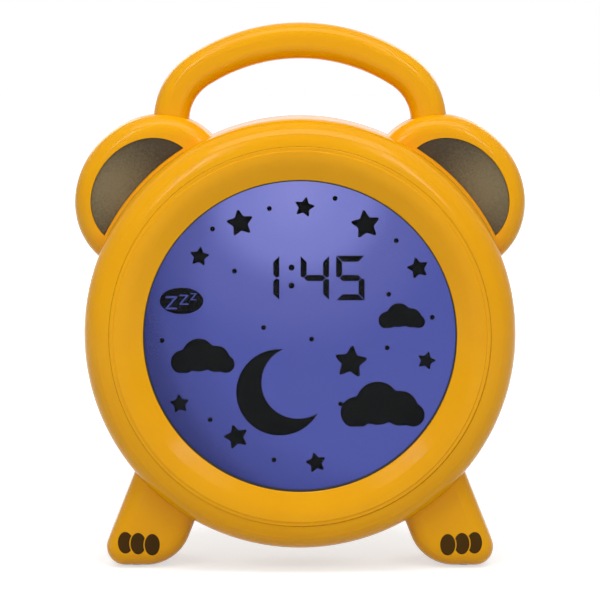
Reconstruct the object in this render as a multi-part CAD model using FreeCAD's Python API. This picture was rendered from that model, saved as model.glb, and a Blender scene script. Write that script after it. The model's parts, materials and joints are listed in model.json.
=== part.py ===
import FreeCAD, Part
import math
import os

V = FreeCAD.Vector

# Driving dimensions in millimetres: X to the right, Y to the rear, Z up.
# All pieces are drawn about the middle of the round face and raised by LIFT when saved.
BODY_R = 74.3
FRONT_Y = -29.0
REAR_Y = 29.0
PART_Y = -2.0
PART_GAP = 0.2
WALL = 2.4
SHELL_FRONT_Y = -28.4
FRONT_ROLL_R = 10.0
REAR_ROLL_R = 21.0

# The feet: leg outline, depth and the rubber grip under each
LEG_TILT = 21.5
LEG_WIDTH = 25.7
LEG_INNER_POINT = (37.15, -67.4)
LEG_BOTTOM_Z = -81.7
LEG_FRONT_Y = -17.0
LEG_REAR_Y = 19.0
LEG_EDGE_R = 5.8
LEG_OUTER_CORNER_R = 6.4
LEG_INNER_CORNER_R = 16.0
GRIP_SIZE = (5.5, 22.0, 1.2)
GRIP_PROUD = 0.4
GRIP_X = 57.2
GRIP_Y = 1.0
LIFT = GRIP_PROUD - LEG_BOTTOM_Z

# The ears: an ellipse with its short half-axis pointing away from the body
EAR_CENTRE = (51.0, 47.7)
EAR_TILT = 41.3
EAR_HALF = (28.8, 25.6)
EAR_FRONT_Y = -12.0
EAR_REAR_Y = 10.0
EAR_EDGE_R = 6.2
PAD_CENTRE = (53.4, 48.3)
PAD_TILT = 43.0
PAD_HALF = (20.3, 17.2)
PAD_FRONT_Y = -11.6
PAD_REAR_Y = -9.2
PAD_DISH = 1.3
PAD_SHELF = 1.8

# The carrying handle: two side arcs and a crown arc on straight ends
HANDLE_SPRING_Z = 72.6
HANDLE_HALF_WIDTH = 44.6
HANDLE_SIDE_R = 21.0
HANDLE_CROWN_R = 64.81
HANDLE_RISE = 27.9
HANDLE_END_Z = 58.0
HANDLE_SECTION = (12.4, 14.0)
HANDLE_CORNER_R = 5.0
HANDLE_WALL = 2.2
HANDLE_FLANGE = (14.0, 16.0, 2.2)
HANDLE_SOCKET_Z = (60.4, 62.6)

# The display opening and what lies behind it
SHELL_MOUTH_R = 65.35
BEZEL_OUTER_R = 65.25
BEZEL_STEP_R = 63.8
BEZEL_INNER_R = 53.7
BEZEL_LIP_Y = -26.0
LEDGE_INNER_R = 57.0
LEDGE_Y = (-25.3, -22.8)
LENS_R = 62.0
LENS_Y = (-22.6, -20.8)
FRONT_GLASS_Y = (-20.5, -19.4)
INK_Y = (-19.35, -19.15)
REAR_GLASS_Y = (-19.1, -18.0)
DIFFUSER_Y = (-17.8, -15.8)
LCD_HALF = 56.5
LCD_CORNER_HALF = 64.0
TRAY_WALL = 1.5
TRAY_Y = (-20.6, -4.5)
LED_BOARD_Y = (-7.4, -6.1)
LED_SIZE = (3.2, 1.2)
MAIN_BOARD_Y = (1.0, 2.6)
MAIN_BOARD_HALF_X = 42.0
MAIN_BOARD_Z = (-34.0, 36.0)
RIBBON_X = (5.0, 19.0)

# Digits of the display
DIGIT_SIZE = (9.8, 15.4)
DIGIT_BASE_Z = 11.9
DIGIT_STROKE = 2.1
DIGIT_GAP = 0.14

# Screws: thread radius, head radius, head height
CASE_SCREW = (1.45, 2.7, 1.8)
SMALL_SCREW = (1.0, 1.9, 1.2)
POST_R_FROM_AXIS = 67.0
POST_ANGLE = 20.0
WELL_FLOOR_Y = 6.0
TRAY_BOSS_R = 66.0

# Batteries: three AA cells lying across the clock
CELL_R = 7.2
CELL_LENGTH = 49.4
CELL_PITCH = 14.8
CELL_Y = 18.0
BOX_X = 31.0
BOX_Z = (-44.7, 2.3)
BOX_Y = (9.4, 26.2)
BOX_WALL = 1.3
BOX_MIDDLE_Z = (BOX_Z[0] + BOX_Z[1]) / 2

# Battery door: a plate whose round top edge turns on two stub pins
DOOR_X = 31.2
DOOR_Y = (26.7, 28.9)
DOOR_BOTTOM_Z = -44.9
DOOR_PIVOT = (27.8, 1.4)
DOOR_GAP = 0.3
DOOR_PIN_R = 0.7
DOOR_PIN_LENGTH = 1.3
DOOR_SCREW_Z = -41.2

# Keys on the rear, in two arcs beside the speaker
KEY_RING_R = 42.0
KEY_ANGLES = (17.0, 36.0, 55.0)
KEY_R = 4.2
KEY_TOP_Y = 28.5
KEY_FLANGE_R = 5.4
KEY_FLANGE_Y = (22.9, 24.2)
KEY_STEM_R = 1.5
KEY_STEM_END_Y = 19.5
KEY_POCKET_Y = 27.2
KEY_PANEL_Y = 24.5
KEY_BOARD_Y = (15.4, 17.0)
SWITCH_SIZE = (6.0, 3.0)

# Speaker and power socket on the rear
SPEAKER_Z = 27.0
SPEAKER_R = 16.5
SPEAKER_RIM_Y = (24.4, 26.4)
GRILLE_HOLE_R = 0.9
GRILLE_RINGS = ((0.0, 1), (3.4, 6), (6.8, 12), (10.2, 18))
SOCKET_X = 43.0
SOCKET_Z = -9.0
SOCKET_HALF = 4.8
SOCKET_Y = (12.5, 26.5)
SOCKET_BORE_R = 2.85
SOCKET_DEPTH = 9.5
SOCKET_PIN_R = 1.05


# Basic forms
def disc(radius, y_front, y_rear, x=0.0, z=0.0):
    return Part.makeCylinder(radius, y_rear - y_front, V(x, y_front, z), V(0, 1, 0))


def block(x_range, y_range, z_range):
    size = (x_range[1] - x_range[0], y_range[1] - y_range[0], z_range[1] - z_range[0])
    return Part.makeBox(*size, V(x_range[0], y_range[0], z_range[0]))


def block_at(centre, size):
    ranges = [(c - s / 2, c + s / 2) for c, s in zip(centre, size)]
    return block(*ranges)


def mirrored(shape):
    return shape.mirror(V(0, 0, 0), V(1, 0, 0))


def fused(shapes):
    whole = shapes[0].fuse(list(shapes[1:]))
    return whole.removeSplitter()


def polar(radius, angle):
    turn = math.radians(angle)
    return radius * math.cos(turn), radius * math.sin(turn)


def rounded_wire(corners, place):
    """Closed wire through (a, b, radius) corners, drawn where place(a, b) puts each point."""
    edges = []
    ends = []
    count = len(corners)
    for i, (a, b, radius) in enumerate(corners):
        here = V(a, b, 0)
        before = (V(*corners[i - 1][:2], 0) - here).normalize()
        after = (V(*corners[(i + 1) % count][:2], 0) - here).normalize()
        half = before.getAngle(after) / 2
        if radius == 0:
            ends.append((here, here))
            continue
        reach = radius / math.tan(half)
        middle = (before + after).normalize()
        bulge = middle * (radius / math.sin(half) - radius)
        points = [here + before * reach, here + bulge, here + after * reach]
        edges.append(Part.Arc(*[place(p.x, p.y) for p in points]).toShape())
        ends.append((points[0], points[2]))
    for i in range(count):
        start = ends[i][1]
        end = ends[(i + 1) % count][0]
        if (end - start).Length > 1e-6:
            edges.append(Part.makeLine(place(start.x, start.y), place(end.x, end.y)))
    return Part.Wire(Part.sortEdges(edges)[0])


def on_face(x, z):
    return V(x, 0, z)


def on_section(radius, y):
    return V(radius, y, 0)


def on_floor(x, y):
    return V(x, y, 0)


def plate(wire, y_front, y_rear):
    """Solid between two Y planes from a closed wire drawn at Y = 0."""
    face = Part.Face(wire)
    face.translate(V(0, y_front, 0))
    return face.extrude(V(0, y_rear - y_front, 0))


def turned(corners):
    """Solid turned about the Y axis from (radius, y, corner radius) points."""
    face = Part.Face(rounded_wire(corners, on_section))
    return face.revolve(V(0, 0, 0), V(0, 1, 0), 360)


def ellipse_plate(centre, half, tilt, y_front, y_rear, grow=0.0):
    """Elliptical plate; the short half-axis points along the tilt angle."""
    middle = V(centre[0], 0, centre[1])
    long_x, long_z = polar(half[0] + grow, tilt + 90)
    short_x, short_z = polar(half[1] + grow, tilt)
    curve = Part.Ellipse(middle + V(long_x, 0, long_z), middle + V(short_x, 0, short_z), middle)
    return plate(Part.Wire(curve.toShape()), y_front, y_rear)


def band(centre, radius, width, start, end, y_range):
    """Plate shaped as an arc-shaped stroke with round ends."""
    def point(r, angle):
        x, z = polar(r, angle)
        return V(centre[0] + x, 0, centre[1] + z)

    def cap(angle, outward):
        x, z = polar(radius, angle)
        turn = math.radians(angle + 90 * outward)
        tip = V(centre[0] + x + math.cos(turn) * width / 2, 0, centre[1] + z + math.sin(turn) * width / 2)
        return Part.Arc(point(radius - width / 2, angle), tip, point(radius + width / 2, angle)).toShape()

    middle = (start + end) / 2
    edges = []
    for r in (radius - width / 2, radius + width / 2):
        edges.append(Part.Arc(point(r, start), point(r, middle), point(r, end)).toShape())
    edges += [cap(start, -1), cap(end, 1)]
    return plate(Part.Wire(Part.sortEdges(edges)[0]), *y_range)


def stroke(start, end, width, y_range):
    """Plate shaped as a straight stroke with round ends."""
    length = math.hypot(end[0] - start[0], end[1] - start[1])
    r = width / 2
    bar = block((0, length), y_range, (-r, r))
    bar = fused([bar, disc(r, *y_range), disc(r, *y_range, x=length)])
    bar.rotate(V(0, 0, 0), V(0, -1, 0), math.degrees(math.atan2(end[1] - start[1], end[0] - start[0])))
    bar.translate(V(start[0], 0, start[1]))
    return bar


def round_edges_at(shape, radius, y_planes, keep=None):
    """Fillet every edge that lies wholly in one of the given Y planes."""
    edges = []
    for edge in shape.Edges:
        box = edge.BoundBox
        for y in y_planes:
            flat = abs(box.YMin - y) < 1e-3 and abs(box.YMax - y) < 1e-3
            if flat and (keep is None or keep(edge)):
                edges.append(edge)
    return shape.makeFillet(radius, edges)


def tube(points, radius, bend):
    """Round wire along straight runs, with an arc at each inner point."""
    points = [V(*p) for p in points]
    edges = []
    start = points[0]
    for before, here, after in zip(points, points[1:], points[2:]):
        back = (before - here).normalize()
        ahead = (after - here).normalize()
        half = back.getAngle(ahead) / 2
        reach = bend / math.tan(half)
        middle = here + (back + ahead).normalize() * (bend / math.sin(half) - bend)
        edges.append(Part.makeLine(start, here + back * reach))
        edges.append(Part.Arc(here + back * reach, middle, here + ahead * reach).toShape())
        start = here + ahead * reach
    edges.append(Part.makeLine(start, points[-1]))
    ring = Part.Wire(Part.makeCircle(radius, points[0], points[1] - points[0]))
    return Part.Wire(edges).makePipeShell([ring], True, False)


def screw(sizes, head_y, tip_y, x, z):
    """Screw along Y with a cross recess; its head faces the rear."""
    thread_r, head_r, head_height = sizes
    body = disc(head_r, head_y, head_y + head_height, x, z)
    body = body.fuse(disc(thread_r, tip_y, head_y, x, z)).removeSplitter()
    slot = head_r * 1.2
    depth = head_height * 0.6
    top = head_y + head_height
    for size in ((slot, 2 * depth, slot * 0.24), (slot * 0.24, 2 * depth, slot)):
        body = body.cut(block_at((x, top, z), size))
    return body


# Outer body: round case, ears and legs, each made a wall smaller for the hollow
def case_form(inset):
    front = SHELL_FRONT_Y + inset
    rear = REAR_Y - inset
    radius = BODY_R - inset
    corners = [
        (0, front, 0),
        (radius, front, FRONT_ROLL_R - inset),
        (radius, rear, REAR_ROLL_R - inset),
        (0, rear, 0),
    ]
    return turned(corners)


def ear_form(inset):
    ear = ellipse_plate(EAR_CENTRE, EAR_HALF, EAR_TILT, EAR_FRONT_Y + inset, EAR_REAR_Y - inset, -inset)
    return round_edges_at(ear, EAR_EDGE_R - inset, (EAR_FRONT_Y + inset, EAR_REAR_Y - inset))


def leg_corner(offset, z):
    """Point at height z on the line that runs down the leg, offset outwards from its inner side."""
    slope = math.tan(math.radians(LEG_TILT))
    x = LEG_INNER_POINT[0] + offset / math.cos(math.radians(LEG_TILT))
    return x + (LEG_INNER_POINT[1] - z) * slope


def leg_form(inset):
    bottom = LEG_BOTTOM_Z + inset
    inner_top_z = -44.0
    outer_top_z = -29.0
    corners = [
        (leg_corner(inset, inner_top_z), inner_top_z, 0),
        (leg_corner(inset, bottom), bottom, LEG_INNER_CORNER_R - inset),
        (leg_corner(LEG_WIDTH - inset, bottom), bottom, LEG_OUTER_CORNER_R - inset),
        (leg_corner(LEG_WIDTH - inset, outer_top_z), outer_top_z, 0),
    ]
    leg = plate(rounded_wire(corners, on_face), LEG_FRONT_Y + inset, LEG_REAR_Y - inset)

    def outside_the_case(edge):
        lowest = edge.BoundBox.ZMin
        return lowest < outer_top_z - 16

    planes = (LEG_FRONT_Y + inset, LEG_REAR_Y - inset)
    return round_edges_at(leg, LEG_EDGE_R - inset, planes, outside_the_case)


def both_sides(shape):
    return [shape, mirrored(shape)]


def whole_shell():
    outer = [case_form(0)] + both_sides(ear_form(0)) + both_sides(leg_form(0))
    inner = [case_form(WALL)] + both_sides(ear_form(WALL)) + both_sides(leg_form(WALL))
    shell = fused(outer).cut(fused(inner))
    socket = block((35, 55), (EAR_FRONT_Y + 1, EAR_REAR_Y - 1), HANDLE_SOCKET_Z).common(ear_form(0))
    shell = shell.fuse(both_sides(socket))
    return shell.cut([handle_form(0.15)] + handle_flanges(0.15))


def front_half(shape):
    return shape.common(block((-100, 100), (-40, PART_Y - PART_GAP / 2), (-100, 100)))


def rear_half(shape):
    return shape.common(block((-100, 100), (PART_Y + PART_GAP / 2, 40), (-100, 100)))


# Handle
def handle_path():
    crown_z = HANDLE_SPRING_Z + HANDLE_RISE - HANDLE_CROWN_R
    side_x = HANDLE_HALF_WIDTH - HANDLE_SIDE_R
    turn = math.atan2(HANDLE_SPRING_Z - crown_z, side_x)

    def side(angle, sign):
        x = side_x + HANDLE_SIDE_R * math.cos(angle)
        return V(sign * x, 0, HANDLE_SPRING_Z + HANDLE_SIDE_R * math.sin(angle))

    def end(sign, z):
        return V(sign * HANDLE_HALF_WIDTH, 0, z)

    top = V(0, 0, crown_z + HANDLE_CROWN_R)
    return Part.Wire([
        Part.makeLine(end(-1, HANDLE_END_Z), end(-1, HANDLE_SPRING_Z)),
        Part.Arc(side(0, -1), side(turn / 2, -1), side(turn, -1)).toShape(),
        Part.Arc(side(turn, -1), top, side(turn, 1)).toShape(),
        Part.Arc(side(turn, 1), side(turn / 2, 1), side(0, 1)).toShape(),
        Part.makeLine(end(1, HANDLE_SPRING_Z), end(1, HANDLE_END_Z)),
    ])


def handle_form(grow):
    half_x = HANDLE_SECTION[0] / 2 + grow
    half_y = HANDLE_SECTION[1] / 2 + grow
    corner = max(HANDLE_CORNER_R + grow, 1.0)
    signs = ((-1, -1), (1, -1), (1, 1), (-1, 1))
    section = rounded_wire([(sx * half_x, sy * half_y, corner) for sx, sy in signs], on_floor)
    section.translate(V(-HANDLE_HALF_WIDTH, 0, HANDLE_END_Z))
    return handle_path().makePipeShell([section], True, False)


def handle_flanges(grow):
    size = [side + 2 * grow for side in HANDLE_FLANGE]
    middle_z = HANDLE_END_Z + HANDLE_FLANGE[2] / 2
    return [block_at((sign * HANDLE_HALF_WIDTH, 0, middle_z), size) for sign in (-1, 1)]


def handle():
    whole = handle_form(0).fuse(handle_flanges(0))
    return whole.cut(handle_form(-HANDLE_WALL)).removeSplitter()


# Ear pads and toe pads
def pad_form(grow, y_front, y_rear):
    whole = ellipse_plate(PAD_CENTRE, PAD_HALF, PAD_TILT, y_front, y_rear, grow)
    return whole.cut(disc(BODY_R + 1.2 - grow, y_front - 1, y_rear + 1))


def ear_pad():
    pad = pad_form(0, PAD_FRONT_Y, PAD_REAR_Y)
    reach = PAD_HALF[0]
    dish_r = (reach ** 2 + PAD_DISH ** 2) / (2 * PAD_DISH)
    middle = V(PAD_CENTRE[0], PAD_FRONT_Y + PAD_DISH - dish_r, PAD_CENTRE[1])
    return pad.cut(Part.makeSphere(dish_r, middle))


def toe_outline(index, grow):
    centres = ((51.3, -73.7), (56.2, -73.3), (60.6, -73.0))
    half = (3.75, 2.6)
    return ellipse_plate(centres[index], half, 0, LEG_FRONT_Y - 2, LEG_FRONT_Y + 8, grow)


def toe_forms(grow, depth):
    """The three toe marks of the right foot as a skin of the given depth."""
    gap = 0.5
    leg = leg_form(0)
    deeper = leg.copy()
    deeper.translate(V(0, depth, 0))
    skin = leg.cut(deeper)
    toes = []
    for index in range(3):
        toe = toe_outline(index, grow)
        if index > 0:
            toe = toe.cut(toe_outline(index - 1, gap - grow))
        toes.append(toe.common(skin))
    return toes


def foot_grip(grow):
    size = (GRIP_SIZE[0] + grow, GRIP_SIZE[1] + grow, GRIP_SIZE[2])
    grip = block_at((GRIP_X, GRIP_Y, LEG_BOTTOM_Z - GRIP_PROUD + GRIP_SIZE[2] / 2), size)
    upright = [e for e in grip.Edges if e.BoundBox.ZLength > 0.5]
    return grip.makeFillet(2.4, upright)


# Front shell
def case_post_places():
    x, z = polar(POST_R_FROM_AXIS, POST_ANGLE)
    return [(sx * x, sz * z) for sx in (-1, 1) for sz in (-1, 1)]


def tray_boss_places():
    return [polar(TRAY_BOSS_R, angle) for angle in (0, 90, 180, 270)]


def front_shell(shell):
    ledge_outer_r = 69.5
    boss_r = 3.6
    small_boss_r = 3.0
    front = front_half(shell)
    ledge = disc(ledge_outer_r, LEDGE_Y[0] - 1.7, LEDGE_Y[1])
    front = front.fuse(ledge)
    front = front.cut(disc(SHELL_MOUTH_R, SHELL_FRONT_Y - 5, LEDGE_Y[0]))
    front = front.cut(disc(LEDGE_INNER_R, SHELL_FRONT_Y - 5, LEDGE_Y[1] + 1))
    bosses = [disc(boss_r, LEDGE_Y[1] - 0.5, PART_Y - PART_GAP / 2, x, z) for x, z in case_post_places()]
    bosses += [disc(small_boss_r, LEDGE_Y[1] - 0.5, -12.1, x, z) for x, z in tray_boss_places()]
    front = front.fuse(bosses)
    holes = [disc(CASE_SCREW[0] + 0.05, -16, 0, x, z) for x, z in case_post_places()]
    holes += [disc(SMALL_SCREW[0] + 0.05, -20, -5, x, z) for x, z in tray_boss_places()]
    front = front.cut(holes)
    shelf = pad_form(PAD_SHELF, PAD_REAR_Y + 0.1, PAD_REAR_Y + 1.8)
    pocket = pad_form(0.15, EAR_FRONT_Y - 2, PAD_REAR_Y + 0.1)
    front = front.fuse(both_sides(shelf.common(ear_form(0.5))))
    front = front.cut(both_sides(pocket) + handle_flanges(0.15))
    for toe in toe_forms(0.06, 1.0):
        front = front.cut(both_sides(toe))
    front = front.cut(both_sides(foot_grip(0.1)))
    return front.removeSplitter()


# Bezel, lens and display stack
def bezel():
    """Ring that falls gently towards the window, with a fine step near its outer edge."""
    step_y = FRONT_Y + 0.3
    corners = [
        (BEZEL_INNER_R, LENS_Y[0] - 0.1, 0),
        (BEZEL_INNER_R, BEZEL_LIP_Y, 0.4),
        (BEZEL_INNER_R + 7.2, FRONT_Y, 12.0),
        (BEZEL_STEP_R, FRONT_Y, 0.2),
        (BEZEL_STEP_R + 0.1, step_y, 0.08),
        (BEZEL_OUTER_R, step_y, 0.3),
        (BEZEL_OUTER_R, LEDGE_Y[0] - 0.1, 0),
        (LEDGE_INNER_R - 0.4, LEDGE_Y[0] - 0.1, 0),
        (LEDGE_INNER_R - 0.4, LENS_Y[0] - 0.1, 0),
    ]
    return turned(corners)


def octagon(half, corner_half, y_range):
    square = block((-half, half), y_range, (-half, half))
    turned_square = block((-corner_half, corner_half), y_range, (-corner_half, corner_half))
    turned_square.rotate(V(0, 0, 0), V(0, 1, 0), 45)
    return square.common(turned_square)


def display_plate(y_range, grow=0.0):
    return octagon(LCD_HALF + grow, LCD_CORNER_HALF + grow, y_range)


def digit_bars():
    """Corner points of the seven bars, from the digit's lower left corner."""
    width, height = DIGIT_SIZE
    s = DIGIT_STROKE
    g = DIGIT_GAP
    middle = height / 2
    upper_left = [
        (0, height - g), (0, middle + s / 4), (s / 2, middle + g),
        (s, middle + s / 2 + g), (s, height - s - g)]
    top = [(g, height), (width - g, height), (width - s - g, height - s), (s + g, height - s)]
    centre = [
        (s / 2 + g, middle), (s + g, middle + s / 2), (width - s - g, middle + s / 2),
        (width - s / 2 - g, middle), (width - s - g, middle - s / 2), (s + g, middle - s / 2)]

    def flipped(points):
        return [(x, height - z) for x, z in points]

    def swapped(points):
        return [(width - x, z) for x, z in points]

    return {
        "top": top,
        "middle": centre,
        "bottom": flipped(top),
        "upper_left": upper_left,
        "upper_right": swapped(upper_left),
        "lower_left": flipped(upper_left),
        "lower_right": swapped(flipped(upper_left)),
    }


def digit(left, names):
    """Seven-bar digit whose lower left corner is at the given x."""
    bars = digit_bars()
    solids = []
    for name in names:
        corners = [(left + x, DIGIT_BASE_Z + z, 0) for x, z in bars[name]]
        solids.append(plate(rounded_wire(corners, on_face), *INK_Y))
    return solids


def lcd_digits():
    one = digit(-16.9, ("upper_right", "lower_right"))
    four = digit(0.2, ("upper_left", "upper_right", "middle", "lower_right"))
    five = digit(12.4, ("top", "upper_left", "middle", "lower_right", "bottom"))
    dot_r = 1.05
    dots = [disc(dot_r, *INK_Y, x=-2.9, z=z) for z in (17.0, 23.2)]
    return one + dots + four + five


def star(centre, radius, tilt):
    corners = []
    for i in range(10):
        reach = radius if i % 2 == 0 else radius * 0.5
        x, z = polar(reach, tilt + 90 + 36 * i)
        corners.append((centre[0] + x, centre[1] + z, radius * 0.09))
    return plate(rounded_wire(corners, on_face), *INK_Y)


def crescent(centre, radius, shift, bite):
    """Crescent moon: a disc less a smaller disc set off to one side."""
    whole = disc(radius, *INK_Y, x=centre[0], z=centre[1])
    return whole.cut(disc(bite, INK_Y[0] - 1, INK_Y[1] + 1, centre[0] + shift[0], centre[1] + shift[1]))


def cloud(centre, size):
    """Cloud on a flat base, as wide as twice the size."""
    puffs = ((-0.62, 0.0, 0.38), (-0.12, 0.22, 0.52), (0.42, 0.10, 0.42), (0.72, -0.06, 0.28))
    parts = [disc(r * size, *INK_Y, x=centre[0] + x * size, z=centre[1] + z * size) for x, z, r in puffs]
    base_z = centre[1] - 0.34 * size
    floor = block((-200, 200), (INK_Y[0] - 1, INK_Y[1] + 1), (base_z - 2 * size, base_z))
    return fused(parts).cut(floor)


def lcd_picture():
    """Plain night sky: a crescent moon, clouds, stars and small far stars."""
    stars = (
        ((-20.5, 38.5), 5.2, 10), ((1.5, 44.0), 3.9, -12), ((22.5, 38.0), 5.6, 8), ((-34.5, 27.0), 3.8, -8),
        ((40.5, 23.0), 4.2, 14), ((17.5, -9.5), 6.4, -6), ((-22.0, -35.5), 4.8, 16), ((5.5, -44.5), 4.0, 12),
        ((43.5, -9.0), 3.6, -16), ((-41.5, -24.0), 3.8, 6),
    )
    far_stars = (
        (-30.0, 36.5), (-10.5, 43.5), (12.0, 47.0), (33.0, 32.5), (-22.5, 22.0), (30.5, 14.0), (45.5, 6.0),
        (-12.5, 2.5), (4.0, -1.5), (30.0, -4.5), (-47.5, -2.0), (-31.0, -29.5), (14.0, -24.0), (-9.0, -43.5),
    )
    parts = [crescent((-7.0, -20.0), 15.0, (6.3, 3.4), 12.6)]
    parts += [cloud((28.5, -27.0), 14.5), cloud((-33.5, -9.5), 11.0), cloud((35.0, 5.0), 8.0)]
    parts += [star(*row) for row in stars]
    parts += [disc(0.85, *INK_Y, x=x, z=z) for x, z in far_stars]
    return parts


def letter_z(corner, size, width, y_range):
    """The letter Z as three strokes, from its lower left corner."""
    x0, z0 = corner
    x1 = x0 + 0.86 * size
    z1 = z0 + size
    runs = (((x0, z1), (x1, z1)), ((x1, z1), (x0, z0)), ((x0, z0), (x1, z0)))
    return [stroke(*run, width, y_range) for run in runs]


def sleep_icon():
    """Oval badge with three letters Z of falling size cut out of it."""
    centre = (-40.7, 11.7)
    badge = ellipse_plate(centre, (7.5, 4.6), 90, *INK_Y)
    y_range = (INK_Y[0] - 1, INK_Y[1] + 1)
    for x, z, size in ((-5.2, -2.6, 3.9), (-0.5, -1.1, 3.0), (3.2, 0.4, 2.1)):
        corner = (centre[0] + x, centre[1] + z)
        badge = badge.cut(letter_z(corner, size, 0.17 * size, y_range))
    return badge


def backlight_tray():
    tab_half = 3.6
    tab_y = (-12.0, -10.0)
    tray = display_plate(TRAY_Y, 0.4 + TRAY_WALL)
    tray = tray.cut(display_plate((TRAY_Y[0] - 1, TRAY_Y[1] - TRAY_WALL), 0.4))
    tabs = []
    for angle in (0, 90, 180, 270):
        tab = block((LCD_HALF + 1, TRAY_BOSS_R + 3), tab_y, (-tab_half, tab_half))
        tab.rotate(V(0, 0, 0), V(0, -1, 0), angle)
        tabs.append(tab)
    posts = [disc(2.8, TRAY_Y[1] - 0.5, MAIN_BOARD_Y[0], x, z) for x, z in board_post_places()]
    tray = tray.fuse(tabs + posts)
    holes = [disc(SMALL_SCREW[0] + 0.1, -20, 0, x, z) for x, z in tray_boss_places()]
    holes += [disc(SMALL_SCREW[0] + 0.05, -3.5, 5, x, z) for x, z in board_post_places()]
    slot_x = (RIBBON_X[0] - 0.5, RIBBON_X[1] + 0.5)
    ribbon_slot = block(slot_x, (-19.6, -17.6), (-LCD_HALF - 3, -LCD_HALF + 1))
    lip = display_plate((DIFFUSER_Y[1] + 0.1, DIFFUSER_Y[1] + 1.3), 0.6)
    lip = lip.cut(display_plate((DIFFUSER_Y[1], DIFFUSER_Y[1] + 2), -1.2))
    return tray.cut(holes).cut(ribbon_slot).fuse(lip).removeSplitter()


def board_post_places():
    return [(sx * 37.0, z) for sx in (-1, 1) for z in (-28.0, 30.0)]


def leds():
    parts = []
    for radius, count in ((20.0, 6), (42.0, 10)):
        for i in range(count):
            x, z = polar(radius, 18 + i * 360 / count)
            centre = (x, LED_BOARD_Y[0] - LED_SIZE[1] / 2, z)
            parts.append(block_at(centre, (LED_SIZE[0], LED_SIZE[1], LED_SIZE[0])))
    return parts


def main_board():
    board = block((-MAIN_BOARD_HALF_X, MAIN_BOARD_HALF_X), MAIN_BOARD_Y, MAIN_BOARD_Z)
    holes = [disc(SMALL_SCREW[0] + 0.1, 0, 4, x, z) for x, z in board_post_places()]
    return board.cut(holes)


def board_parts():
    """Quartz can, capacitors, connector and resistors on the rear of the main board."""
    y = MAIN_BOARD_Y[1]
    parts = [disc(3.2, y, y + 5.5, x=x, z=z) for x, z in ((-22, 28), (-12, 28), (26, 22))]
    parts.append(block_at((22, y + 1.8, 8), (10, 3.6, 4)))
    parts.append(block_at((-26, y + 2.0, 6), (12, 4.0, 5)))
    for i in range(8):
        parts.append(block_at((-24 + 6.4 * i, y + 0.5, -24), (3.2, 1.0, 1.6)))
    return parts


def lcd_ribbon():
    """Flat cable from the display's lower edge, under the tray, to the front of the main board."""
    outline = [
        (-18.9, -LCD_HALF - 0.1), (-18.9, -60.4), (0.7, -60.4), (0.7, -31.0),
        (0.4, -31.0), (0.4, -60.1), (-18.6, -60.1), (-18.6, -LCD_HALF - 0.1),
    ]
    face = Part.Face(Part.makePolygon([V(RIBBON_X[0], y, z) for y, z in outline + outline[:1]]))
    return face.extrude(V(RIBBON_X[1] - RIBBON_X[0], 0, 0))


# Rear shell
def key_places():
    places = []
    for side in (1, -1):
        for angle in KEY_ANGLES:
            x, z = polar(KEY_RING_R, angle)
            places.append((side * x, z))
    return places


def key_band(width, y_range):
    return both_sides(band((0, 0), KEY_RING_R, width, KEY_ANGLES[0] - 1, KEY_ANGLES[-1] + 1, y_range))


def grille_holes():
    holes = []
    for radius, count in GRILLE_RINGS:
        for i in range(count):
            x, z = polar(radius, i * 360 / count)
            holes.append(disc(GRILLE_HOLE_R, REAR_Y - WALL - 1, REAR_Y + 1, x, SPEAKER_Z + z))
    return holes


def key_board_screw_places():
    return [(0.0, 45.6), (-46.0, 3.5), (46.0, 3.5)]


def door_opening():
    top = DOOR_PIVOT[1] + (DOOR_Y[1] - DOOR_Y[0]) / 2 + DOOR_GAP
    half = DOOR_X + DOOR_GAP
    return block((-half, half), (BOX_Y[1], REAR_Y + 1), (DOOR_BOTTOM_Z - DOOR_GAP, top))


def rear_shell(shell):
    inner_y = REAR_Y - WALL
    rear = rear_half(shell)
    added = [disc(4.6, PART_Y + PART_GAP / 2, 18, x, z) for x, z in case_post_places()]
    added += key_band(15.5, (KEY_PANEL_Y, inner_y + 0.5))
    added += [disc(2.6, KEY_BOARD_Y[1] + 0.05, inner_y + 0.5, x, z) for x, z in key_board_screw_places()]
    added.append(disc(SPEAKER_R + 1.6, SPEAKER_RIM_Y[0], inner_y + 0.5, z=SPEAKER_Z))
    for sign in (-1, 1):
        x = SOCKET_X + sign * (SOCKET_HALF + 0.7)
        added.append(block_at((x, 22.7, SOCKET_Z), (1.2, 8.6, 11)))
    speaker_room = disc(SPEAKER_R + 0.2, 10, inner_y, z=SPEAKER_Z)
    rear = rear.fuse([piece.common(case_form(1.0)).cut(speaker_room) for piece in added])
    removed = [disc(3.3, WELL_FLOOR_Y, REAR_Y + 1, x, z) for x, z in case_post_places()]
    removed += [disc(CASE_SCREW[0] + 0.15, -5, 10, x, z) for x, z in case_post_places()]
    removed += key_band(12.0, (KEY_POCKET_Y, REAR_Y + 1))
    removed += [disc(KEY_R + 0.35, KEY_PANEL_Y - 1, REAR_Y, x, z) for x, z in key_places()]
    removed += [disc(SMALL_SCREW[0] + 0.05, 15, 23, x, z) for x, z in key_board_screw_places()]
    removed += grille_holes()
    removed += [door_opening(), disc(4.3, 20, REAR_Y + 1, SOCKET_X, SOCKET_Z)]
    pin_reach = DOOR_X + DOOR_PIN_LENGTH + 0.15
    axis = V(-pin_reach, DOOR_PIVOT[0], DOOR_PIVOT[1])
    removed.append(Part.makeCylinder(DOOR_PIN_R + 0.08, 2 * pin_reach, axis, V(1, 0, 0)))
    rear = rear.cut(removed)
    rear = rear.cut(both_sides(foot_grip(0.1)))
    return rear.removeSplitter()


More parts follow.
